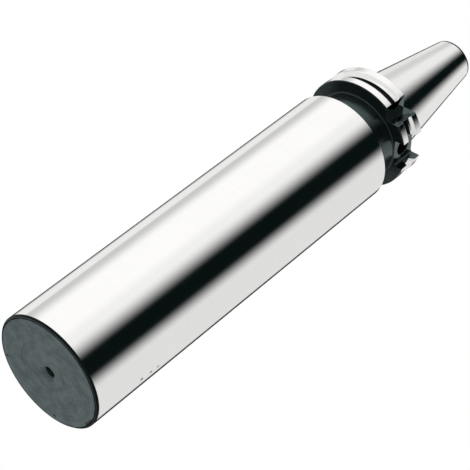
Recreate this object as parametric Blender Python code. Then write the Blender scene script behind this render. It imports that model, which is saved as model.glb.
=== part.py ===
"""Boring bar blank: a plain steel bar with a size 40 steep taper shank, ground from one piece.

The blank stands on its free end, with its axis on +Z and its origin at the centre of that end.
From the origin upwards come the plain body, the neck, the gripper flange with its V-groove,
drive slots and orientation notch, and the 7/24 taper with the pull stud bore in its small end.
Heights on the shank are measured from the gauge line, the plane where the taper is 44.45 wide.
"""

import math

import bmesh
import bpy
from mathutils import Matrix

MM = 0.001

# Plain body
BODY_DIAMETER = 62.0 * MM
BODY_LENGTH = 215.0 * MM
FREE_END_CHAMFER = 1.0 * MM
SHOULDER_CHAMFER = 0.2 * MM

# Centre hole in the free end, its 60 degree cone set back behind a wide protecting chamfer
CENTRE_PILOT_DIAMETER = 3.15 * MM
CENTRE_CONE_DIAMETER = 6.7 * MM
CENTRE_CONE_ANGLE = math.radians(60.0)
CENTRE_MOUTH_DIAMETER = 10.0 * MM
CENTRE_MOUTH_ANGLE = math.radians(120.0)
CENTRE_HOLE_DEPTH = 9.0 * MM

# Neck between the body and the flange
NECK_DIAMETER = 49.0 * MM
NECK_LENGTH = 15.9 * MM
NECK_FILLET = 1.0 * MM

# Gripper flange
FLANGE_DIAMETER = 63.55 * MM
FLANGE_WIDTH = 15.9 * MM
FLANGE_EDGE_BREAK = 0.4 * MM
GAUGE_LINE_ABOVE_FLANGE = 3.2 * MM
GROOVE_BELOW_GAUGE_LINE = 11.1 * MM
GROOVE_BOTTOM_DIAMETER = 56.25 * MM
GROOVE_BOTTOM_WIDTH = 2.83 * MM
GROOVE_ANGLE = math.radians(60.0)

# Drive slots, opposite each other on +X and -X
SLOT_WIDTH = 16.1 * MM
SLOT_FLOOR_PLUS_X = 25.0 * MM
SLOT_FLOOR_MINUS_X = 22.8 * MM
SLOT_CORNER_RADIUS = 1.0 * MM

# Bore for a data carrier, in the floor of the +X drive slot
CARRIER_BORE_DIAMETER = 10.0 * MM
CARRIER_BORE_DEPTH = 4.6 * MM

# Orientation notch, a V beside the +X drive slot
NOTCH_ANGLE_FROM_SLOT = math.radians(-45.0)
NOTCH_BOTTOM_RADIUS = 25.5 * MM
NOTCH_INCLUDED_ANGLE = math.radians(90.0)

# Taper
GAUGE_DIAMETER = 44.45 * MM
TAPER_LENGTH = 68.4 * MM
TAPER_RATIO = 7.0 / 24.0
SMALL_END_CHAMFER = 0.5 * MM
UNDERCUT_DEPTH = 0.6 * MM
UNDERCUT_FILLET = 0.8 * MM
UNDERCUT_END_BELOW_GAUGE_LINE = 0.8 * MM

# Pull stud bore in the small end
STUD_PILOT_DIAMETER = 17.0 * MM
STUD_PILOT_DEPTH = 8.0 * MM
STUD_CORE_DIAMETER = 14.0 * MM
STUD_CORE_DEPTH = 43.0 * MM
STUD_MOUTH_CHAMFER = 0.8 * MM
STUD_THREAD_CHAMFER = 1.0 * MM

DRILL_POINT_ANGLE = math.radians(118.0)

# Fineness of the mesh
TURNED_STEPS = 72
BORE_STEPS = 32
SLOT_END_STEPS = 12
FILLET_STEPS = 3
CUTTER_MARGIN = 2.0 * MM

# Heights that follow from the sizes
FLANGE_LOW = BODY_LENGTH + NECK_LENGTH
FLANGE_HIGH = FLANGE_LOW + FLANGE_WIDTH
GAUGE_LINE = FLANGE_HIGH + GAUGE_LINE_ABOVE_FLANGE
GROOVE_CENTRE = GAUGE_LINE - GROOVE_BELOW_GAUGE_LINE
SMALL_END = GAUGE_LINE + TAPER_LENGTH


def arc(centre_radius, centre_height, radius, start_degrees, end_degrees):
    """Points of a profile's fillet, as (radius, height) pairs with both ends."""
    points = []
    for step in range(FILLET_STEPS + 1):
        degrees = start_degrees + (end_degrees - start_degrees) * step / FILLET_STEPS
        angle = math.radians(degrees)
        points.append((centre_radius + radius * math.cos(angle), centre_height + radius * math.sin(angle)))
    return points


def drill_point_height(diameter):
    return diameter / 2 / math.tan(DRILL_POINT_ANGLE / 2)


def taper_radius(height):
    return GAUGE_DIAMETER / 2 - (height - GAUGE_LINE) * TAPER_RATIO / 2


def centre_hole_profile():
    """From the drill point in the free end out over the cone to the protecting chamfer."""
    pilot = CENTRE_PILOT_DIAMETER / 2
    cone = CENTRE_CONE_DIAMETER / 2
    mouth = CENTRE_MOUTH_DIAMETER / 2
    mouth_depth = (mouth - cone) / math.tan(CENTRE_MOUTH_ANGLE / 2)
    cone_depth = mouth_depth + (cone - pilot) / math.tan(CENTRE_CONE_ANGLE / 2)
    return [
        (0.0, CENTRE_HOLE_DEPTH),
        (pilot, CENTRE_HOLE_DEPTH - drill_point_height(CENTRE_PILOT_DIAMETER)),
        (pilot, cone_depth),
        (cone, mouth_depth),
        (mouth, 0.0),
    ]


def body_profile():
    radius = BODY_DIAMETER / 2
    return [
        (radius - FREE_END_CHAMFER, 0.0),
        (radius, FREE_END_CHAMFER),
        (radius, BODY_LENGTH - SHOULDER_CHAMFER),
        (radius - SHOULDER_CHAMFER, BODY_LENGTH),
    ]


def neck_profile():
    fillet_radius = NECK_DIAMETER / 2 + NECK_FILLET
    lower = arc(fillet_radius, BODY_LENGTH + NECK_FILLET, NECK_FILLET, 270.0, 180.0)
    upper = arc(fillet_radius, FLANGE_LOW - NECK_FILLET, NECK_FILLET, 180.0, 90.0)
    return lower + upper


def flange_profile():
    """Two lands with broken edges, and the V-groove for the tool changer between them."""
    outer = FLANGE_DIAMETER / 2
    bottom = GROOVE_BOTTOM_DIAMETER / 2
    edge = FLANGE_EDGE_BREAK
    half_bottom = GROOVE_BOTTOM_WIDTH / 2
    half_mouth = half_bottom + (outer - bottom) * math.tan(GROOVE_ANGLE / 2)
    flank_edge = edge * math.tan(GROOVE_ANGLE / 2)
    return [
        (outer - edge, FLANGE_LOW),
        (outer, FLANGE_LOW + edge),
        (outer, GROOVE_CENTRE - half_mouth - edge + flank_edge),
        (outer - edge, GROOVE_CENTRE - half_mouth + flank_edge),
        (bottom, GROOVE_CENTRE - half_bottom),
        (bottom, GROOVE_CENTRE + half_bottom),
        (outer - edge, GROOVE_CENTRE + half_mouth - flank_edge),
        (outer, GROOVE_CENTRE + half_mouth + edge - flank_edge),
        (outer, FLANGE_HIGH - edge),
        (outer - edge, FLANGE_HIGH),
    ]


def taper_profile():
    """Undercut at the flange, then the ground cone up to the small end."""
    cone_start = GAUGE_LINE - UNDERCUT_END_BELOW_GAUGE_LINE
    undercut = taper_radius(cone_start) - UNDERCUT_DEPTH
    fillet = arc(undercut + UNDERCUT_FILLET, FLANGE_HIGH + UNDERCUT_FILLET, UNDERCUT_FILLET, 270.0, 180.0)
    chamfer_start = SMALL_END - SMALL_END_CHAMFER
    return fillet + [
        (undercut, cone_start - UNDERCUT_DEPTH),
        (taper_radius(cone_start), cone_start),
        (taper_radius(chamfer_start), chamfer_start),
        (taper_radius(SMALL_END) - SMALL_END_CHAMFER, SMALL_END),
    ]


def stud_bore_profile():
    """From the bore's mouth in the small end down to the drill point."""
    pilot = STUD_PILOT_DIAMETER / 2
    core = STUD_CORE_DIAMETER / 2
    pilot_floor = SMALL_END - STUD_PILOT_DEPTH
    core_end = SMALL_END - STUD_CORE_DEPTH
    return [
        (pilot + STUD_MOUTH_CHAMFER, SMALL_END),
        (pilot, SMALL_END - STUD_MOUTH_CHAMFER),
        (pilot, pilot_floor),
        (core + STUD_THREAD_CHAMFER, pilot_floor),
        (core, pilot_floor - STUD_THREAD_CHAMFER),
        (core, core_end),
        (0.0, core_end - drill_point_height(STUD_CORE_DIAMETER)),
    ]


def new_object(name, mesh_builder):
    """Turn a filled bmesh into an object in the scene."""
    mesh = bpy.data.meshes.new(name)
    bmesh.ops.recalc_face_normals(mesh_builder, faces=mesh_builder.faces)
    mesh_builder.to_mesh(mesh)
    mesh_builder.free()
    made = bpy.data.objects.new(name, mesh)
    bpy.context.collection.objects.link(made)
    return made


def turned_blank():
    """The whole turned shape, spun round +Z from one profile that starts and ends on the axis."""
    profile = (centre_hole_profile() + body_profile() + neck_profile() + flange_profile()
               + taper_profile() + stud_bore_profile())
    builder = bmesh.new()
    corners = [builder.verts.new((radius, 0.0, height)) for radius, height in profile]
    edges = [builder.edges.new(pair) for pair in zip(corners, corners[1:])]
    bmesh.ops.spin(builder, geom=corners + edges, cent=(0, 0, 0), axis=(0, 0, 1), angle=math.tau,
                   steps=TURNED_STEPS, use_merge=True, use_duplicate=False)
    bmesh.ops.remove_doubles(builder, verts=builder.verts, dist=0.001 * MM)
    return new_object("boring_bar_blank", builder)


def make_cutter(name, builder):
    cutter = new_object(name, builder)
    cutter.hide_render = True
    cutter.display_type = "WIRE"
    return cutter


def extruded_outline(points, direction):
    """A closed prism: the outline's face, extruded along one direction."""
    builder = bmesh.new()
    face = builder.faces.new([builder.verts.new(point) for point in points])
    extruded = bmesh.ops.extrude_face_region(builder, geom=[face])
    moved = [item for item in extruded["geom"] if isinstance(item, bmesh.types.BMVert)]
    bmesh.ops.translate(builder, verts=moved, vec=direction)
    return builder


def drive_slot_cutter(name, floor_distance, turn):
    """A slot as an end mill leaves it: open at the taper side, with a round end in the neck."""
    half = SLOT_WIDTH / 2
    open_end = FLANGE_HIGH + CUTTER_MARGIN
    outline = [(floor_distance, half, open_end)]
    for step in range(SLOT_END_STEPS + 1):
        angle = math.pi * step / SLOT_END_STEPS
        outline.append((floor_distance, half * math.cos(angle), FLANGE_LOW - half * math.sin(angle)))
    outline.append((floor_distance, -half, open_end))
    reach = FLANGE_DIAMETER / 2 + CUTTER_MARGIN - floor_distance
    builder = extruded_outline(outline, (reach, 0.0, 0.0))
    floor_edges = [edge for edge in builder.edges
                   if all(abs(vert.co.x - floor_distance) < 0.01 * MM for vert in edge.verts)]
    bmesh.ops.bevel(builder, geom=floor_edges, offset=SLOT_CORNER_RADIUS, offset_type="OFFSET",
                    affect="EDGES", segments=2, profile=0.5, material=-1, clamp_overlap=True)
    bmesh.ops.transform(builder, matrix=Matrix.Rotation(turn, 4, "Z"), verts=builder.verts)
    return make_cutter(name, builder)


def notch_cutter():
    """A V prism through the flange, with its edge along the axis."""
    outer = FLANGE_DIAMETER / 2 + CUTTER_MARGIN
    half_mouth = (outer - NOTCH_BOTTOM_RADIUS) * math.tan(NOTCH_INCLUDED_ANGLE / 2)
    low = FLANGE_LOW - CUTTER_MARGIN
    high = FLANGE_HIGH + CUTTER_MARGIN
    outline = [(NOTCH_BOTTOM_RADIUS, 0.0, low), (outer, half_mouth, low), (outer, -half_mouth, low)]
    builder = extruded_outline(outline, (0.0, 0.0, high - low))
    bmesh.ops.transform(builder, matrix=Matrix.Rotation(NOTCH_ANGLE_FROM_SLOT, 4, "Z"), verts=builder.verts)
    return make_cutter("notch_cutter", builder)


def carrier_bore_cutter():
    """A flat-bottomed blind bore, square to the floor of the +X slot."""
    length = CARRIER_BORE_DEPTH + CUTTER_MARGIN
    middle = SLOT_FLOOR_PLUS_X + CUTTER_MARGIN - length / 2
    builder = bmesh.new()
    place = Matrix.Translation((middle, 0.0, GROOVE_CENTRE)) @ Matrix.Rotation(math.pi / 2, 4, "Y")
    bmesh.ops.create_cone(builder, cap_ends=True, segments=BORE_STEPS, radius1=CARRIER_BORE_DIAMETER / 2,
                          radius2=CARRIER_BORE_DIAMETER / 2, depth=length, matrix=place)
    return make_cutter("carrier_bore_cutter", builder)


def bright_steel():
    material = bpy.data.materials.new("ground_steel")
    material.use_nodes = True
    shader = material.node_tree.nodes["Principled BSDF"]
    shader.inputs["Base Color"].default_value = (0.78, 0.78, 0.77, 1.0)
    shader.inputs["Metallic"].default_value = 1.0
    shader.inputs["Roughness"].default_value = 0.22
    return material


def cut(target, cutter):
    modifier = target.modifiers.new(cutter.name, "BOOLEAN")
    modifier.operation = "DIFFERENCE"
    modifier.solver = "EXACT"
    modifier.object = cutter


for existing in list(bpy.data.objects):
    bpy.data.objects.remove(existing)

blank = turned_blank()
blank.data.materials.append(bright_steel())
blank.data.shade_smooth()
blank.data.set_sharp_from_angle(angle=math.radians(30.0))

cut(blank, drive_slot_cutter("slot_cutter_plus_x", SLOT_FLOOR_PLUS_X, 0.0))
cut(blank, drive_slot_cutter("slot_cutter_minus_x", SLOT_FLOOR_MINUS_X, math.pi))
cut(blank, notch_cutter())
cut(blank, carrier_bore_cutter())
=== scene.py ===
import math

import bmesh
import bpy
from mathutils import Matrix, Quaternion, Vector


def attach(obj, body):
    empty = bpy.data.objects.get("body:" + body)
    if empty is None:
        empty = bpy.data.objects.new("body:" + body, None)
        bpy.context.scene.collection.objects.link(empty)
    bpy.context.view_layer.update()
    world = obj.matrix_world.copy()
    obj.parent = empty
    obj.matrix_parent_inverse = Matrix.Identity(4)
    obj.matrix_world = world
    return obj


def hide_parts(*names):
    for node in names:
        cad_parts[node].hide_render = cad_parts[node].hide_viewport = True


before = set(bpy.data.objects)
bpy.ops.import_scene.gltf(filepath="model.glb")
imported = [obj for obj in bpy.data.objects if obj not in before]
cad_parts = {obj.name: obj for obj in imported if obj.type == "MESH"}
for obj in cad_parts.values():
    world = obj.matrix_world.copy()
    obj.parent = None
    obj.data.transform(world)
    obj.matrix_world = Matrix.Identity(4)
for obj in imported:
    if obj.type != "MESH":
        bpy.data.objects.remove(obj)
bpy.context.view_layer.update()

MM = 0.001

# Viewpoint
# The photograph looks up along the bar from below its free end, with a long lens.
# The camera circles a point near the bar's axis, and is rolled so that the bar lies across the frame.
AIM_POINT = Vector((2.211, 1.593, 128.773)) * MM
VIEW_DISTANCE = 841.638 * MM
VIEW_AZIMUTH = math.radians(35.775)
VIEW_ELEVATION = math.radians(-34.609)
VIEW_ROLL = math.radians(52.005)
LENS = 129.329


def add_object(name, data):
    """Put a mesh, a camera or a lamp into the scene, at the origin."""
    added = bpy.data.objects.new(name, data)
    bpy.context.scene.collection.objects.link(added)
    return added


toward_camera = Vector((math.sin(VIEW_AZIMUTH) * math.cos(VIEW_ELEVATION),
                        -math.cos(VIEW_AZIMUTH) * math.cos(VIEW_ELEVATION),
                        math.sin(VIEW_ELEVATION)))
camera = add_object("camera", bpy.data.cameras.new("camera"))
camera.data.lens = LENS
camera.location = AIM_POINT + toward_camera * VIEW_DISTANCE
camera.rotation_mode = "QUATERNION"
camera.rotation_quaternion = (-toward_camera).to_track_quat("-Z", "Y") @ Quaternion((0, 0, 1), VIEW_ROLL)
bpy.context.scene.camera = camera

# Free end and plain body
# One bar of steel, turned all over and blackened, then ground bright on the outside.
# The wheel stops just short of the end, so that its edge, the faced end and the centre hole
# that carried the bar in the lathe stay black.
BODY_RADIUS = 31.0 * MM
BODY_LENGTH = 215.0 * MM
FREE_END_CHAMFER = 1.0 * MM
BLACK_CHAMFER = 0.65 * MM
BLACK_BAND = 0.45 * MM
SHOULDER_CHAMFER = 0.2 * MM
CENTRE_PILOT_RADIUS = 1.575 * MM
CENTRE_CONE_RADIUS = 3.35 * MM
CENTRE_CONE_SLOPE = math.tan(math.radians(30.0))
# Inside this radius the centre hole is painted near-black, as painted shade in its depth.
CENTRE_SHADED_CORE_RADIUS = 2.9 * MM
CENTRE_MOUTH_RADIUS = 5.0 * MM
CENTRE_MOUTH_SLOPE = math.tan(math.radians(60.0))
CENTRE_HOLE_DEPTH = 9.0 * MM
DRILL_POINT_SLOPE = math.tan(math.radians(31.0))
TURNED_STEPS = 288
OXIDE_TINT = (0.70, 0.98, 1.0, 1.0)
STEEL_TINT = (1.0, 1.0, 1.0, 1.0)
BAND_WIDTH = 2.2 * MM
BAND_SHARE = 0.6
ALL_LIGHT_BELOW = 0.25
ALL_DARK_ABOVE = 0.75
FLECK_COLOUR = (0.004, 0.004, 0.004, 1.0)
FLECK_SIZE = 1.1 * MM
BODY_FLECKS = [(29.9 * MM, 12.8, 1.3 * MM), (36.2 * MM, 13.3, 1.1 * MM), (41.1 * MM, 13.7, 1.0 * MM)]
FACE_FLECKS = [(27.1 * MM, 86.3), (27.7 * MM, 167.0), (29.0 * MM, 37.5), (29.1 * MM, 35.2),
               (29.2 * MM, 32.9), (29.3 * MM, 30.6), (29.4 * MM, 28.3), (29.5 * MM, 26.0)]


def add_node(tree, kind, values=None, **settings):
    """Add a shader node with these settings, and with these values in its input sockets."""
    node = tree.nodes.new(kind)
    for setting, value in settings.items():
        setattr(node, setting, value)
    for socket, value in (values or {}).items():
        node.inputs[socket].default_value = value
    return node


def new_group(name, inputs, output):
    """A shader node group with these inputs and their values, and one number as its output."""
    tree = bpy.data.node_groups.new(name, "ShaderNodeTree")
    for socket, value in inputs.items():
        kind = "NodeSocketVector" if isinstance(value, tuple) else "NodeSocketFloat"
        tree.interface.new_socket(socket, in_out="INPUT", socket_type=kind).default_value = value
    tree.interface.new_socket(output, in_out="OUTPUT", socket_type="NodeSocketFloat")
    return tree, tree.nodes.new("NodeGroupInput"), tree.nodes.new("NodeGroupOutput")


def add_group(tree, group, values):
    """Place a shader node group in a material, with these values."""
    return add_node(tree, "ShaderNodeGroup", values, node_tree=group)


# Rings left by the lathe tool or the grinding wheel. They follow the distance travelled along
# the bar and out from its axis, so that they run round every turned surface.
turning_marks, given, result = new_group("turning marks", {"Spacing": 0.2 * MM}, "Height")
place = add_node(turning_marks, "ShaderNodeTexCoord")
parts = add_node(turning_marks, "ShaderNodeSeparateXYZ")
across = add_node(turning_marks, "ShaderNodeVectorMath", {1: (1.0, 1.0, 0.0)}, operation="MULTIPLY")
radius = add_node(turning_marks, "ShaderNodeVectorMath", operation="LENGTH")
travel = add_node(turning_marks, "ShaderNodeMath", operation="ADD")
passes = add_node(turning_marks, "ShaderNodeMath", operation="DIVIDE")
rings = add_node(turning_marks, "ShaderNodeTexNoise", {"Scale": 1.0, "Detail": 2.0}, noise_dimensions="1D")
turning_marks.links.new(place.outputs["Object"], parts.inputs[0])
turning_marks.links.new(place.outputs["Object"], across.inputs[0])
turning_marks.links.new(across.outputs[0], radius.inputs[0])
turning_marks.links.new(parts.outputs["Z"], travel.inputs[0])
turning_marks.links.new(radius.outputs["Value"], travel.inputs[1])
turning_marks.links.new(travel.outputs[0], passes.inputs[0])
turning_marks.links.new(given.outputs["Spacing"], passes.inputs[1])
turning_marks.links.new(passes.outputs[0], rings.inputs["W"])
turning_marks.links.new(rings.outputs["Fac"], result.inputs["Height"])

# Soft patches where the surface was wiped, handled or blackened unevenly.
patches, given, result = new_group("patches", {"Size": 10.0 * MM}, "Mask")
place = add_node(patches, "ShaderNodeTexCoord")
scale = add_node(patches, "ShaderNodeMath", {0: 1.0}, operation="DIVIDE")
cloud = add_node(patches, "ShaderNodeTexNoise", {"Detail": 5.0, "Roughness": 0.6})
contrast = add_node(patches, "ShaderNodeMapRange", {"From Min": 0.32, "From Max": 0.68},
                    interpolation_type="SMOOTHSTEP")
patches.links.new(given.outputs["Size"], scale.inputs[1])
patches.links.new(place.outputs["Object"], cloud.inputs["Vector"])
patches.links.new(scale.outputs[0], cloud.inputs["Scale"])
patches.links.new(cloud.outputs["Fac"], contrast.inputs["Value"])
patches.links.new(contrast.outputs[0], result.inputs["Mask"])

# One small dark fleck with a soft edge, such as a speck of oil or rust.
fleck, given, result = new_group("fleck", {"Centre": (0.0, 0.0, 0.0), "Size": FLECK_SIZE}, "Mask")
place = add_node(fleck, "ShaderNodeTexCoord")
away = add_node(fleck, "ShaderNodeVectorMath", operation="DISTANCE")
share = add_node(fleck, "ShaderNodeMath", operation="DIVIDE")
fade = add_node(fleck, "ShaderNodeMapRange", {"From Min": 1.0, "From Max": 0.4})
fleck.links.new(place.outputs["Object"], away.inputs[0])
fleck.links.new(given.outputs["Centre"], away.inputs[1])
fleck.links.new(away.outputs["Value"], share.inputs[0])
fleck.links.new(given.outputs["Size"], share.inputs[1])
fleck.links.new(share.outputs[0], fade.inputs["Value"])
fleck.links.new(fade.outputs[0], result.inputs["Mask"])


def steel_finish(name, light, dark, ior, roughness, patch_size, marks, spacing, depth,
                 flecks=(), tint=OXIDE_TINT, metallic=0.0):
    """A steel surface: two tones in patches and bands, tool marks as bump, and flecks.

    marks is the group that gives the tool marks, with their spacing and depth. roughness holds
    the lowest and the highest, and flecks holds (centre, size) pairs."""
    material = bpy.data.materials.new(name)
    material.use_nodes = True
    tree = material.node_tree
    shader = tree.nodes["Principled BSDF"]
    shader.inputs["Metallic"].default_value = metallic
    shader.inputs["IOR"].default_value = ior
    shader.inputs["Specular Tint"].default_value = tint
    patch = add_group(tree, patches, {"Size": patch_size})
    band = add_group(tree, marks, {"Spacing": BAND_WIDTH})
    uneven = add_node(tree, "ShaderNodeMix", {0: BAND_SHARE})
    tree.links.new(patch.outputs["Mask"], uneven.inputs[2])
    tree.links.new(band.outputs["Height"], uneven.inputs[3])
    tone = add_node(tree, "ShaderNodeValToRGB")
    light_stop, dark_stop = tone.color_ramp.elements
    light_stop.position = ALL_LIGHT_BELOW
    light_stop.color = (*light, 1.0)
    dark_stop.position = ALL_DARK_ABOVE
    dark_stop.color = (*dark, 1.0)
    tree.links.new(uneven.outputs[0], tone.inputs["Fac"])
    colour = tone.outputs["Color"]
    for centre, size in flecks:
        speck = add_group(tree, fleck, {"Centre": centre, "Size": size})
        stain = add_node(tree, "ShaderNodeMix", {7: FLECK_COLOUR}, data_type="RGBA")
        tree.links.new(speck.outputs["Mask"], stain.inputs[0])
        tree.links.new(colour, stain.inputs[6])
        colour = stain.outputs[2]
    tree.links.new(colour, shader.inputs["Base Color"])
    gloss = add_node(tree, "ShaderNodeMapRange", {"To Min": roughness[0], "To Max": roughness[1]})
    tree.links.new(patch.outputs["Mask"], gloss.inputs["Value"])
    tree.links.new(gloss.outputs[0], shader.inputs["Roughness"])
    tool = add_group(tree, marks, {"Spacing": spacing})
    bump = add_node(tree, "ShaderNodeBump", {"Distance": depth})
    tree.links.new(tool.outputs["Height"], bump.inputs["Height"])
    tree.links.new(bump.outputs[0], shader.inputs["Normal"])
    return material


def round_place(radius, degrees, height):
    """The point at this radius and height, so many degrees round the bar from +X."""
    return (radius * math.cos(math.radians(degrees)), radius * math.sin(math.radians(degrees)), height)


# Ground steel is bright metal. The four black finishes differ in how much the oxide shines.
ground = steel_finish(
    "ground", light=(0.98, 0.976, 0.968), dark=(0.965, 0.961, 0.953), ior=1.5, roughness=(0.075, 0.095),
    patch_size=30.0 * MM, marks=turning_marks, spacing=0.12 * MM, depth=0.00025 * MM,
    flecks=[(round_place(BODY_RADIUS, degrees, height), size) for height, degrees, size in BODY_FLECKS],
    tint=STEEL_TINT, metallic=1.0)
faced = steel_finish(
    "faced", light=(0.125, 0.160, 0.162), dark=(0.073, 0.098, 0.100), ior=1.2, roughness=(0.40, 0.50),
    patch_size=7.0 * MM, marks=turning_marks, spacing=0.25 * MM, depth=0.0015 * MM,
    flecks=[(round_place(radius, degrees, 0.0), FLECK_SIZE) for radius, degrees in FACE_FLECKS])
turned = steel_finish(
    "turned", light=(0.003, 0.004, 0.004), dark=(0.002, 0.003, 0.003), ior=1.8, roughness=(0.22, 0.28),
    patch_size=7.0 * MM, marks=turning_marks, spacing=0.3 * MM, depth=0.002 * MM)
dull = steel_finish(
    "dull", light=(0.004, 0.005, 0.005), dark=(0.002, 0.003, 0.003), ior=1.5, roughness=(0.3, 0.4),
    patch_size=5.0 * MM, marks=turning_marks, spacing=0.3 * MM, depth=0.002 * MM)
matt = steel_finish(
    "matt", light=(0.003, 0.004, 0.004), dark=(0.001, 0.002, 0.002), ior=1.25, roughness=(0.4, 0.5),
    patch_size=3.0 * MM, marks=turning_marks, spacing=0.3 * MM, depth=0.002 * MM)
finishes = [ground, faced, turned, dull, matt]
blank_shape = bmesh.new()


def turn(outline, finish):
    """Spin an outline of (radius, height) pairs round the bar's axis, as faces of one finish."""
    done_before = set(blank_shape.faces)
    corners = [blank_shape.verts.new((radius, 0.0, height)) for radius, height in outline]
    edges = [blank_shape.edges.new(pair) for pair in zip(corners, corners[1:])]
    bmesh.ops.spin(blank_shape, geom=corners + edges, cent=(0, 0, 0), axis=(0, 0, 1), angle=math.tau,
                   steps=TURNED_STEPS, use_merge=True, use_duplicate=False)
    for face in blank_shape.faces:
        if face not in done_before:
            face.material_index = finishes.index(finish)


mouth_depth = (CENTRE_MOUTH_RADIUS - CENTRE_CONE_RADIUS) / CENTRE_MOUTH_SLOPE
shaded_core_depth = mouth_depth + (CENTRE_CONE_RADIUS - CENTRE_SHADED_CORE_RADIUS) / CENTRE_CONE_SLOPE
cone_depth = mouth_depth + (CENTRE_CONE_RADIUS - CENTRE_PILOT_RADIUS) / CENTRE_CONE_SLOPE
# The centre hole's pilot and the deep part of its cone take the near-black matt finish as painted shade,
# where the hole lies in shadow. The rest of the cone and the mouth take the faced finish.
turn([(0.0, CENTRE_HOLE_DEPTH),
      (CENTRE_PILOT_RADIUS, CENTRE_HOLE_DEPTH - CENTRE_PILOT_RADIUS * DRILL_POINT_SLOPE),
      (CENTRE_PILOT_RADIUS, cone_depth),
      (CENTRE_SHADED_CORE_RADIUS, shaded_core_depth)], matt)
turn([(CENTRE_SHADED_CORE_RADIUS, shaded_core_depth),
      (CENTRE_CONE_RADIUS, mouth_depth),
      (CENTRE_MOUTH_RADIUS, 0.0)], faced)
turn([(CENTRE_MOUTH_RADIUS, 0.0),
      (BODY_RADIUS - FREE_END_CHAMFER, 0.0),
      (BODY_RADIUS - BLACK_CHAMFER, FREE_END_CHAMFER - BLACK_CHAMFER)], faced)
turn([(BODY_RADIUS - BLACK_CHAMFER, FREE_END_CHAMFER - BLACK_CHAMFER),
      (BODY_RADIUS, FREE_END_CHAMFER),
      (BODY_RADIUS, FREE_END_CHAMFER + BLACK_BAND)], matt)
turn([(BODY_RADIUS, FREE_END_CHAMFER + BLACK_BAND),
      (BODY_RADIUS, BODY_LENGTH - SHOULDER_CHAMFER),
      (BODY_RADIUS - SHOULDER_CHAMFER, BODY_LENGTH)], ground)

# Neck
# A blackened groove between the body and the flange, with a small fillet at each end.
# It lets the gripper of a tool changer reach under the flange.
NECK_RADIUS = 24.5 * MM
NECK_LENGTH = 15.9 * MM
NECK_FILLET = 1.0 * MM
FILLET_STEPS = 9


def fillet(centre_radius, centre_height, size, start, end):
    """(radius, height) pairs along a fillet, from one angle to the other in degrees."""
    pairs = []
    for step in range(FILLET_STEPS + 1):
        angle = math.radians(start + (end - start) * step / FILLET_STEPS)
        pairs.append((centre_radius + size * math.cos(angle), centre_height + size * math.sin(angle)))
    return pairs


flange_low = BODY_LENGTH + NECK_LENGTH
turn([(BODY_RADIUS - SHOULDER_CHAMFER, BODY_LENGTH)]
     + fillet(NECK_RADIUS + NECK_FILLET, BODY_LENGTH + NECK_FILLET, NECK_FILLET, 270.0, 180.0)
     + [(NECK_RADIUS, flange_low - NECK_FILLET)], turned)

# Gripper flange
# Two ground lands with a 60 degree V-groove between them, in which the tool changer grips.
# The grinding wheel brightens the outer part of the groove's flanks, and the rest stays black.
FLANGE_RADIUS = 31.775 * MM
FLANGE_WIDTH = 15.9 * MM
FLANGE_EDGE_BREAK = 0.4 * MM
GROOVE_CENTRE_BELOW_FACE = 7.9 * MM
GROOVE_BOTTOM_RADIUS = 28.125 * MM
GROOVE_HALF_BOTTOM = 1.415 * MM
GROOVE_FLANK_SLOPE = math.tan(math.radians(30.0))
GROUND_FLANK_RADIUS = 29.0 * MM

flange_high = flange_low + FLANGE_WIDTH
groove_centre = flange_high - GROOVE_CENTRE_BELOW_FACE
land_edge = FLANGE_RADIUS - FLANGE_EDGE_BREAK


def groove_half_width(radius):
    """Half the groove's width at this radius."""
    return GROOVE_HALF_BOTTOM + (radius - GROOVE_BOTTOM_RADIUS) * GROOVE_FLANK_SLOPE


lower_edge = [(land_edge, flange_low), (FLANGE_RADIUS, flange_low + FLANGE_EDGE_BREAK)]
lower_land = [(FLANGE_RADIUS, flange_low + FLANGE_EDGE_BREAK),
              (FLANGE_RADIUS, groove_centre - groove_half_width(land_edge) - FLANGE_EDGE_BREAK),
              (land_edge, groove_centre - groove_half_width(land_edge)),
              (GROUND_FLANK_RADIUS, groove_centre - groove_half_width(GROUND_FLANK_RADIUS))]
groove_floor = [(GROUND_FLANK_RADIUS, groove_centre - groove_half_width(GROUND_FLANK_RADIUS)),
                (GROOVE_BOTTOM_RADIUS, groove_centre - GROOVE_HALF_BOTTOM),
                (GROOVE_BOTTOM_RADIUS, groove_centre + GROOVE_HALF_BOTTOM),
                (GROUND_FLANK_RADIUS, groove_centre + groove_half_width(GROUND_FLANK_RADIUS))]
upper_land = [(GROUND_FLANK_RADIUS, groove_centre + groove_half_width(GROUND_FLANK_RADIUS)),
              (land_edge, groove_centre + groove_half_width(land_edge)),
              (FLANGE_RADIUS, groove_centre + groove_half_width(land_edge) + FLANGE_EDGE_BREAK),
              (FLANGE_RADIUS, flange_high - FLANGE_EDGE_BREAK)]
upper_edge = [(FLANGE_RADIUS, flange_high - FLANGE_EDGE_BREAK), (land_edge, flange_high)]
turn(fillet(NECK_RADIUS + NECK_FILLET, flange_low - NECK_FILLET, NECK_FILLET, 180.0, 90.0)
     + lower_edge, dull)
turn(lower_land, ground)
turn(groove_floor, matt)
turn(upper_land, ground)

# Taper
# The size 40 steep taper, 7 in 24 and 44.45 mm wide at the gauge line, ground to fit a spindle.
# An undercut at its foot lets the grinding wheel run out before the flange, and the rim of its
# small end stays black.
GAUGE_LINE_ABOVE_FLANGE = 3.2 * MM
GAUGE_RADIUS = 22.225 * MM
TAPER_SLOPE = 7.0 / 48.0
TAPER_LENGTH = 68.4 * MM
UNDERCUT_DEPTH = 0.6 * MM
UNDERCUT_FILLET = 0.8 * MM
UNDERCUT_END_BELOW_GAUGE_LINE = 0.8 * MM
SMALL_END_CHAMFER = 0.5 * MM
BLACK_RIM = 1.2 * MM

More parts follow.
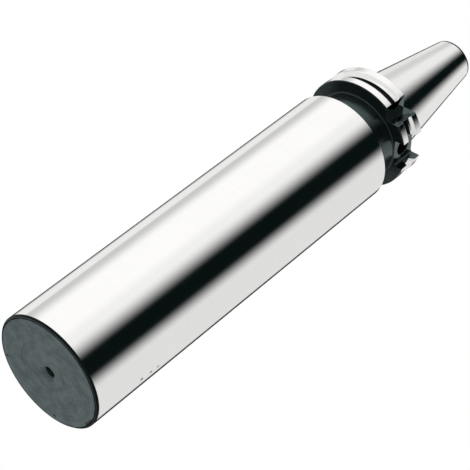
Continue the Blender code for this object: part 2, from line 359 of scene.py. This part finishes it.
gauge_line = flange_high + GAUGE_LINE_ABOVE_FLANGE
small_end = gauge_line + TAPER_LENGTH
cone_start = gauge_line - UNDERCUT_END_BELOW_GAUGE_LINE
cone_end = small_end - SMALL_END_CHAMFER


def taper_radius(height):
    """The taper's radius at this height."""
    return GAUGE_RADIUS - (height - gauge_line) * TAPER_SLOPE


undercut_radius = taper_radius(cone_start) - UNDERCUT_DEPTH
small_end_edge = taper_radius(small_end) - SMALL_END_CHAMFER
turn(upper_edge
     + fillet(undercut_radius + UNDERCUT_FILLET, flange_high + UNDERCUT_FILLET,
              UNDERCUT_FILLET, 270.0, 180.0)
     + [(undercut_radius, cone_start - UNDERCUT_DEPTH), (taper_radius(cone_start), cone_start)], turned)
turn([(taper_radius(cone_start), cone_start),
      (taper_radius(cone_end - BLACK_RIM), cone_end - BLACK_RIM)], ground)
turn([(taper_radius(cone_end - BLACK_RIM), cone_end - BLACK_RIM),
      (taper_radius(cone_end), cone_end),
      (small_end_edge, small_end)], matt)

# Pull stud bore
# A smooth pilot bore and an M16 thread in the small end, for the stud that the spindle pulls on.
# The bore is drilled and tapped before blackening, so all of it is dark.
PILOT_BORE_RADIUS = 8.5 * MM
PILOT_BORE_DEPTH = 8.0 * MM
MOUTH_CHAMFER = 0.8 * MM
THREAD_RADIUS = 8.0 * MM
THREAD_DEPTH = 36.0 * MM
CORE_RADIUS = 7.0 * MM
CORE_DEPTH = 43.0 * MM

turn([(small_end_edge, small_end),
      (PILOT_BORE_RADIUS + MOUTH_CHAMFER, small_end),
      (PILOT_BORE_RADIUS, small_end - MOUTH_CHAMFER),
      (PILOT_BORE_RADIUS, small_end - PILOT_BORE_DEPTH),
      (THREAD_RADIUS, small_end - PILOT_BORE_DEPTH),
      (THREAD_RADIUS, small_end - THREAD_DEPTH),
      (CORE_RADIUS, small_end - THREAD_DEPTH - THREAD_RADIUS + CORE_RADIUS),
      (CORE_RADIUS, small_end - CORE_DEPTH),
      (0.0, small_end - CORE_DEPTH - CORE_RADIUS * DRILL_POINT_SLOPE)], turned)

# Turned shape
# All the turned outlines closed into one shape. Its sharp rings are rounded a little, as a file
# leaves them on the lathe.
FILED_EDGE = 0.08 * MM
EDGE_SEGMENTS = 2
SHARP_RING_ANGLE = math.radians(25.0)
WELD_DISTANCE = 0.002 * MM
LEVEL_WITHIN = 0.001 * MM


def finished_mesh(name, shape):
    """Turn a shape that is done into a mesh."""
    mesh = bpy.data.meshes.new(name)
    shape.to_mesh(mesh)
    shape.free()
    return mesh


bmesh.ops.remove_doubles(blank_shape, verts=blank_shape.verts, dist=WELD_DISTANCE)
bmesh.ops.recalc_face_normals(blank_shape, faces=blank_shape.faces)
sharp_rings = [edge for edge in blank_shape.edges
               if len(edge.link_faces) == 2
               and abs(edge.verts[0].co.z - edge.verts[1].co.z) < LEVEL_WITHIN
               and edge.calc_face_angle(0.0) > SHARP_RING_ANGLE]
bmesh.ops.bevel(blank_shape, geom=sharp_rings, offset=FILED_EDGE, offset_type="OFFSET", affect="EDGES",
                segments=EDGE_SEGMENTS, profile=0.5, material=-1, clamp_overlap=True)
turned_blank = add_object("turned_shape", finished_mesh("turned_shape", blank_shape))
for finish in finishes:
    turned_blank.data.materials.append(finish)

# Drive slots, orientation notch and data carrier bore
# The spindle's two drive keys enter the slots, which are milled in from the taper side with a
# 16.1 mm end mill. The V notch beside one slot tells the magazine which way round the tool is,
# and the round bore in that slot's floor takes a data carrier.
SLOT_HALF_WIDTH = 8.05 * MM
SLOT_FLOORS = [(25.0 * MM, 0.0), (22.8 * MM, math.pi)]
SLOT_CORNER_RADIUS = 1.0 * MM
SLOT_CORNER_SEGMENTS = 8
SLOT_END_STEPS = 48
ON_FLOOR_WITHIN = 0.01 * MM
NOTCH_ANGLE = math.radians(-45.0)
NOTCH_BOTTOM_RADIUS = 25.5 * MM
CARRIER_BORE_RADIUS = 5.0 * MM
CARRIER_BORE_DEPTH = 4.6 * MM
CARRIER_BORE_STEPS = 64
DEBURRED_EDGE = 0.15 * MM
DEBURRED_ANGLE = math.radians(30.0)
ROUNDED_ANGLE = math.radians(12.0)
CUTTER_MARGIN = 2.0 * MM

# Arcs left by the end mill's front edge as it moved along the slot.
milling_marks, given, result = new_group("milling marks", {"Spacing": 0.4 * MM}, "Height")
place = add_node(milling_marks, "ShaderNodeTexCoord")
parts = add_node(milling_marks, "ShaderNodeSeparateXYZ")
square = add_node(milling_marks, "ShaderNodeMath", operation="MULTIPLY")
left = add_node(milling_marks, "ShaderNodeMath", {0: SLOT_HALF_WIDTH ** 2}, operation="SUBTRACT")
lead = add_node(milling_marks, "ShaderNodeMath", operation="SQRT")
travel = add_node(milling_marks, "ShaderNodeMath", operation="ADD")
passes = add_node(milling_marks, "ShaderNodeMath", operation="DIVIDE")
arcs = add_node(milling_marks, "ShaderNodeTexNoise", {"Scale": 1.0, "Detail": 2.0}, noise_dimensions="1D")
milling_marks.links.new(place.outputs["Object"], parts.inputs[0])
milling_marks.links.new(parts.outputs["Y"], square.inputs[0])
milling_marks.links.new(parts.outputs["Y"], square.inputs[1])
milling_marks.links.new(square.outputs[0], left.inputs[1])
milling_marks.links.new(left.outputs[0], lead.inputs[0])
milling_marks.links.new(parts.outputs["Z"], travel.inputs[0])
milling_marks.links.new(lead.outputs[0], travel.inputs[1])
milling_marks.links.new(travel.outputs[0], passes.inputs[0])
milling_marks.links.new(given.outputs["Spacing"], passes.inputs[1])
milling_marks.links.new(passes.outputs[0], arcs.inputs["W"])
milling_marks.links.new(arcs.outputs["Fac"], result.inputs["Height"])

milled = steel_finish(
    "milled", light=(0.005, 0.007, 0.007), dark=(0.002, 0.003, 0.003), ior=1.8, roughness=(0.13, 0.17),
    patch_size=5.0 * MM, marks=milling_marks, spacing=0.4 * MM, depth=0.003 * MM)
cutters = []


def add_cutter(name, cutter_shape, rotation):
    """Let a milling cutter's swept shape, turned this far round the bar, cut the turned blank."""
    bmesh.ops.transform(cutter_shape, matrix=Matrix.Rotation(rotation, 4, "Z"), verts=cutter_shape.verts)
    bmesh.ops.recalc_face_normals(cutter_shape, faces=cutter_shape.faces)
    cutter = add_object(name, finished_mesh(name, cutter_shape))
    cutter.data.materials.append(milled)
    modifier = turned_blank.modifiers.new(name, "BOOLEAN")
    modifier.operation = "DIFFERENCE"
    modifier.solver = "EXACT"
    modifier.material_mode = "TRANSFER"
    modifier.object = cutter
    cutters.append(cutter)


def swept(points, direction):
    """A closed prism: the outline's face, extruded along one direction."""
    cutter_shape = bmesh.new()
    face = cutter_shape.faces.new([cutter_shape.verts.new(point) for point in points])
    extruded = bmesh.ops.extrude_face_region(cutter_shape, geom=[face])
    moved = [item for item in extruded["geom"] if isinstance(item, bmesh.types.BMVert)]
    bmesh.ops.translate(cutter_shape, verts=moved, vec=direction)
    return cutter_shape


for floor_radius, rotation in SLOT_FLOORS:
    open_end = flange_high + CUTTER_MARGIN
    outline = [(floor_radius, SLOT_HALF_WIDTH, open_end)]
    for step in range(SLOT_END_STEPS + 1):
        angle = math.pi * step / SLOT_END_STEPS
        outline.append((floor_radius, SLOT_HALF_WIDTH * math.cos(angle),
                        flange_low - SLOT_HALF_WIDTH * math.sin(angle)))
    outline.append((floor_radius, -SLOT_HALF_WIDTH, open_end))
    slot_shape = swept(outline, (FLANGE_RADIUS + CUTTER_MARGIN - floor_radius, 0.0, 0.0))
    floor_edges = [edge for edge in slot_shape.edges
                   if all(abs(vert.co.x - floor_radius) < ON_FLOOR_WITHIN for vert in edge.verts)]
    bmesh.ops.bevel(slot_shape, geom=floor_edges, offset=SLOT_CORNER_RADIUS, offset_type="OFFSET",
                    affect="EDGES", segments=SLOT_CORNER_SEGMENTS, profile=0.5, material=-1,
                    clamp_overlap=True)
    add_cutter("slot_cutter", slot_shape, rotation)

# The notch's two flanks stand at 45 degrees, so its mouth grows as fast as its depth.
notch_reach = FLANGE_RADIUS + CUTTER_MARGIN
notch_half_mouth = notch_reach - NOTCH_BOTTOM_RADIUS
notch_low = flange_low - CUTTER_MARGIN
notch_shape = swept([(NOTCH_BOTTOM_RADIUS, 0.0, notch_low),
                     (notch_reach, notch_half_mouth, notch_low),
                     (notch_reach, -notch_half_mouth, notch_low)],
                    (0.0, 0.0, FLANGE_WIDTH + 2 * CUTTER_MARGIN))
add_cutter("notch_cutter", notch_shape, NOTCH_ANGLE)

carrier_slot_floor = SLOT_FLOORS[0][0]
bore_length = CARRIER_BORE_DEPTH + CUTTER_MARGIN
bore_middle = carrier_slot_floor + CUTTER_MARGIN - bore_length / 2
bore_shape = bmesh.new()
bore_place = (Matrix.Translation((bore_middle, 0.0, groove_centre))
              @ Matrix.Rotation(math.pi / 2, 4, "Y"))
bmesh.ops.create_cone(bore_shape, cap_ends=True, segments=CARRIER_BORE_STEPS, radius1=CARRIER_BORE_RADIUS,
                      radius2=CARRIER_BORE_RADIUS, depth=bore_length, matrix=bore_place)
add_cutter("bore_cutter", bore_shape, 0.0)

# Once cut, the blank's milled edges are deburred all round.
blank_mesh = bpy.data.meshes.new_from_object(
    turned_blank.evaluated_get(bpy.context.evaluated_depsgraph_get()))
blank_mesh.name = "steel_blank"
bpy.data.objects.remove(turned_blank)
for cutter in cutters:
    bpy.data.objects.remove(cutter)
milled_index = [material.name for material in blank_mesh.materials].index(milled.name)
cut_shape = bmesh.new()
cut_shape.from_mesh(blank_mesh)
cut_edges = [edge for edge in cut_shape.edges
             if len(edge.link_faces) == 2 and edge.is_convex
             and milled_index in (edge.link_faces[0].material_index, edge.link_faces[1].material_index)
             and edge.calc_face_angle(0.0) > DEBURRED_ANGLE]
bmesh.ops.bevel(cut_shape, geom=cut_edges, offset=DEBURRED_EDGE, offset_type="OFFSET", affect="EDGES",
                segments=EDGE_SEGMENTS, profile=0.5, material=-1, clamp_overlap=False)
cut_shape.to_mesh(blank_mesh)
cut_shape.free()
blank_mesh.shade_smooth()
blank_mesh.set_sharp_from_angle(angle=ROUNDED_ANGLE)
steel_blank = add_object("steel_blank", blank_mesh)
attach(steel_blank, "root")
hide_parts("boring_bar_blank")

# Pull stud thread
# The M16 thread stands as one right-handed ridge on the tapped bore's wall, pitch 2 mm.
# It is part of the same steel, and runs out in the chamfer at the foot of the pilot bore.
PITCH = 2.0 * MM
RIDGE_ROOT = 8.05 * MM
RIDGE_CREST_HALF_WIDTH = 0.25 * MM
RIDGE_ROOT_HALF_WIDTH = 0.85 * MM
THREAD_TURNS = 13
STEPS_PER_TURN = 48
TAP_RUN_OUT = 2.0 * MM
BELOW_PILOT_BORE = 0.02 * MM
RIDGE_ROUNDED_ANGLE = math.radians(30.0)

thread_shape = bmesh.new()
thread_bottom = small_end - THREAD_DEPTH + TAP_RUN_OUT
thread_top = small_end - PILOT_BORE_DEPTH
section = [thread_shape.verts.new((radius, 0.0, thread_bottom + offset)) for radius, offset in (
    (RIDGE_ROOT, -RIDGE_ROOT_HALF_WIDTH), (CORE_RADIUS, -RIDGE_CREST_HALF_WIDTH),
    (CORE_RADIUS, RIDGE_CREST_HALF_WIDTH), (RIDGE_ROOT, RIDGE_ROOT_HALF_WIDTH))]
section_edges = [thread_shape.edges.new(pair) for pair in zip(section, section[1:] + section[:1])]
section_sides = len(section)
bmesh.ops.spin(thread_shape, geom=section + section_edges, cent=(0, 0, 0), axis=(0, 0, 1),
               dvec=(0, 0, PITCH / STEPS_PER_TURN), angle=math.tau * THREAD_TURNS,
               steps=STEPS_PER_TURN * THREAD_TURNS, use_merge=False, use_duplicate=False)
for vert in thread_shape.verts:
    radius = math.hypot(vert.co.x, vert.co.y)
    widest = max(radius, THREAD_RADIUS - max(thread_top - vert.co.z, 0.0))
    vert.co.x *= widest / radius
    vert.co.y *= widest / radius
    vert.co.z = min(vert.co.z, thread_top - BELOW_PILOT_BORE)
open_ends = [edge for edge in thread_shape.edges if edge.is_boundary]
bmesh.ops.holes_fill(thread_shape, edges=open_ends, sides=section_sides)
bmesh.ops.recalc_face_normals(thread_shape, faces=thread_shape.faces)
thread_mesh = finished_mesh("stud_thread", thread_shape)
thread_mesh.shade_smooth()
thread_mesh.set_sharp_from_angle(angle=RIDGE_ROUNDED_ANGLE)
thread_mesh.materials.append(turned)
stud_thread = add_object("stud_thread", thread_mesh)
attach(stud_thread, "root")

# Floor
# A pale board with an opening under the blank's foot. It is clear from below, so that the
# camera can look up at the free end.
FLOOR_HEIGHT = -0.05 * MM
FLOOR_RADIUS = 1500.0 * MM
FOOT_OPENING_RADIUS = 29.5 * MM
FLOOR_COLOUR = (0.82, 0.82, 0.82, 1.0)
FLOOR_ROUGHNESS = 0.9
STAGE_STEPS = 96


def spun_line(start, end):
    """The line between two (radius, height) pairs, spun round the bar's axis."""
    shape = bmesh.new()
    ends = [shape.verts.new((radius, 0.0, height)) for radius, height in (start, end)]
    line = shape.edges.new(ends)
    bmesh.ops.spin(shape, geom=[*ends, line], cent=(0, 0, 0), axis=(0, 0, 1), angle=math.tau,
                   steps=STAGE_STEPS, use_merge=True, use_duplicate=False)
    bmesh.ops.remove_doubles(shape, verts=shape.verts, dist=WELD_DISTANCE)
    return shape


floor_shape = spun_line((FOOT_OPENING_RADIUS, FLOOR_HEIGHT), (FLOOR_RADIUS, FLOOR_HEIGHT))
for face in floor_shape.faces:
    face.normal_update()
    if face.normal.z < 0:
        face.normal_flip()
floor = add_object("floor", finished_mesh("floor", floor_shape))
pale_floor = bpy.data.materials.new("pale_floor")
pale_floor.use_nodes = True
tree = pale_floor.node_tree
shader = tree.nodes["Principled BSDF"]
shader.inputs["Base Color"].default_value = FLOOR_COLOUR
shader.inputs["Roughness"].default_value = FLOOR_ROUGHNESS
shader.inputs["Specular IOR Level"].default_value = 0.0
clear = add_node(tree, "ShaderNodeBsdfTransparent")
side = add_node(tree, "ShaderNodeNewGeometry")
mix = add_node(tree, "ShaderNodeMixShader")
tree.links.new(side.outputs["Backfacing"], mix.inputs[0])
tree.links.new(shader.outputs[0], mix.inputs[1])
tree.links.new(clear.outputs[0], mix.inputs[2])
tree.links.new(mix.outputs[0], tree.nodes["Material Output"].inputs["Surface"])
floor.data.materials.append(pale_floor)

# Light tent
# A round white tent with a few soft-edged panels, black or grey, that only reflections show.
# The body and the flange mirror the lower ring of panels on its wall, and the taper the upper one.
# Each panel is given by where it starts and ends, in degrees round the bar, and how dark it is.
# Between two panels the wall changes softly from one to the other.
TENT_RADIUS = 450.0 * MM
TENT_HEIGHT = 1500.0 * MM
WHITE_CLOTH = (1.0, 0.997, 0.992, 1.0)
DARK_PANEL = (0.0022, 0.0052, 0.0052, 1.0)
LOW_PANELS = [(-179, -175, 0.15), (-170, -165, 0.4), (-135, -95, 0.0), (-75, -70, 0.1),
              (-35, -10, 1.0), (20, 90, 0.25), (100, 145, 1.0), (165, 179, 0.15)]
HIGH_PANELS = [(-179, -175, 0.2), (-155, -145, 0.35), (-115, -95, 0.15), (-35, -10, 1.0),
               (40, 90, 0.2), (100, 150, 1.0), (165, 179, 0.2)]
LOW_PANELS_TOP = 625.0 * MM
HIGH_PANELS_FOOT = 660.0 * MM

tent_shape = spun_line((TENT_RADIUS, 0.0), (TENT_RADIUS, TENT_HEIGHT))
tent = add_object("light_tent", finished_mesh("light_tent", tent_shape))
tent.data.shade_smooth()
tent.visible_camera = False
tent.visible_diffuse = False
tent.visible_shadow = False
tent.visible_transmission = False
tent_wall = bpy.data.materials.new("tent_wall")
tent_wall.use_nodes = True
tree = tent_wall.node_tree
tree.nodes.remove(tree.nodes["Principled BSDF"])
place = add_node(tree, "ShaderNodeTexCoord")
parts = add_node(tree, "ShaderNodeSeparateXYZ")
tree.links.new(place.outputs["Object"], parts.inputs[0])
direction = add_node(tree, "ShaderNodeMath", operation="ARCTAN2")
tree.links.new(parts.outputs["Y"], direction.inputs[0])
tree.links.new(parts.outputs["X"], direction.inputs[1])
turns = add_node(tree, "ShaderNodeMapRange", {"From Min": -math.pi, "From Max": math.pi})
tree.links.new(direction.outputs[0], turns.inputs["Value"])


def panels_round(panels):
    """A ramp of the wall's darkness by direction, from one ring of panels."""
    ramp = add_node(tree, "ShaderNodeValToRGB")
    ramp.color_ramp.interpolation = "EASE"
    tree.links.new(turns.outputs[0], ramp.inputs["Fac"])
    stops = ramp.color_ramp.elements
    for start, end, darkness in panels:
        for degrees in (start, end):
            stop = stops.new((degrees + 180.0) / 360.0)
            stop.color = (darkness, darkness, darkness, 1.0)
    stops.remove(stops[0])
    stops.remove(stops[len(stops) - 1])
    return ramp


climb = add_node(tree, "ShaderNodeMapRange",
                 {"From Min": LOW_PANELS_TOP, "From Max": HIGH_PANELS_FOOT})
tree.links.new(parts.outputs["Z"], climb.inputs["Value"])
mix = add_node(tree, "ShaderNodeMix", data_type="RGBA")
tree.links.new(climb.outputs[0], mix.inputs[0])
tree.links.new(panels_round(LOW_PANELS).outputs["Color"], mix.inputs[6])
tree.links.new(panels_round(HIGH_PANELS).outputs["Color"], mix.inputs[7])
cloth = add_node(tree, "ShaderNodeMix", {6: WHITE_CLOTH, 7: DARK_PANEL}, data_type="RGBA")
tree.links.new(mix.outputs[2], cloth.inputs[0])
glow = add_node(tree, "ShaderNodeEmission")
tree.links.new(cloth.outputs[2], glow.inputs["Color"])
tree.links.new(glow.outputs[0], tree.nodes["Material Output"].inputs["Surface"])
tent.data.materials.append(tent_wall)

# Room
# The room is white to the camera, in reflections and through glass. It lights the blank from
# all round at a plain level, and one large lamp above adds the soft shadow on the floor.
WHITE = (1.0, 1.0, 1.0, 1.0)
ROOM_LIGHT = 0.6
BACKGROUND_LIGHT = 1.0
LAMP_DIAMETER = 0.9
LAMP_POWER = 12.0
LAMP_PLACE = Vector((-0.5, -0.9, 1.3))
LAMP_TARGET = Vector((0, 0, 0.15))

room = bpy.data.worlds.new("studio")
bpy.context.scene.world = room
room.use_nodes = True
tree = room.node_tree
background = tree.nodes["Background"]
background.inputs["Color"].default_value = WHITE
ray = add_node(tree, "ShaderNodeLightPath")
seen = add_node(tree, "ShaderNodeMath", operation="MAXIMUM")
tree.links.new(ray.outputs["Is Camera Ray"], seen.inputs[0])
tree.links.new(ray.outputs["Is Glossy Ray"], seen.inputs[1])
also = add_node(tree, "ShaderNodeMath", operation="MAXIMUM")
tree.links.new(seen.outputs[0], also.inputs[0])
tree.links.new(ray.outputs["Is Transmission Ray"], also.inputs[1])
strength = add_node(tree, "ShaderNodeMapRange", {"To Min": ROOM_LIGHT, "To Max": BACKGROUND_LIGHT})
tree.links.new(also.outputs[0], strength.inputs["Value"])
tree.links.new(strength.outputs[0], background.inputs["Strength"])

lamp = add_object("key_lamp", bpy.data.lights.new("key_lamp", "AREA"))
lamp.data.shape = "DISK"
lamp.data.size = LAMP_DIAMETER
lamp.data.energy = LAMP_POWER
lamp.location = LAMP_PLACE
lamp.rotation_mode = "QUATERNION"
lamp.rotation_quaternion = (LAMP_TARGET - LAMP_PLACE).to_track_quat("-Z", "Y")
lamp.visible_glossy = False

bpy.context.scene.view_settings.view_transform = "Standard"
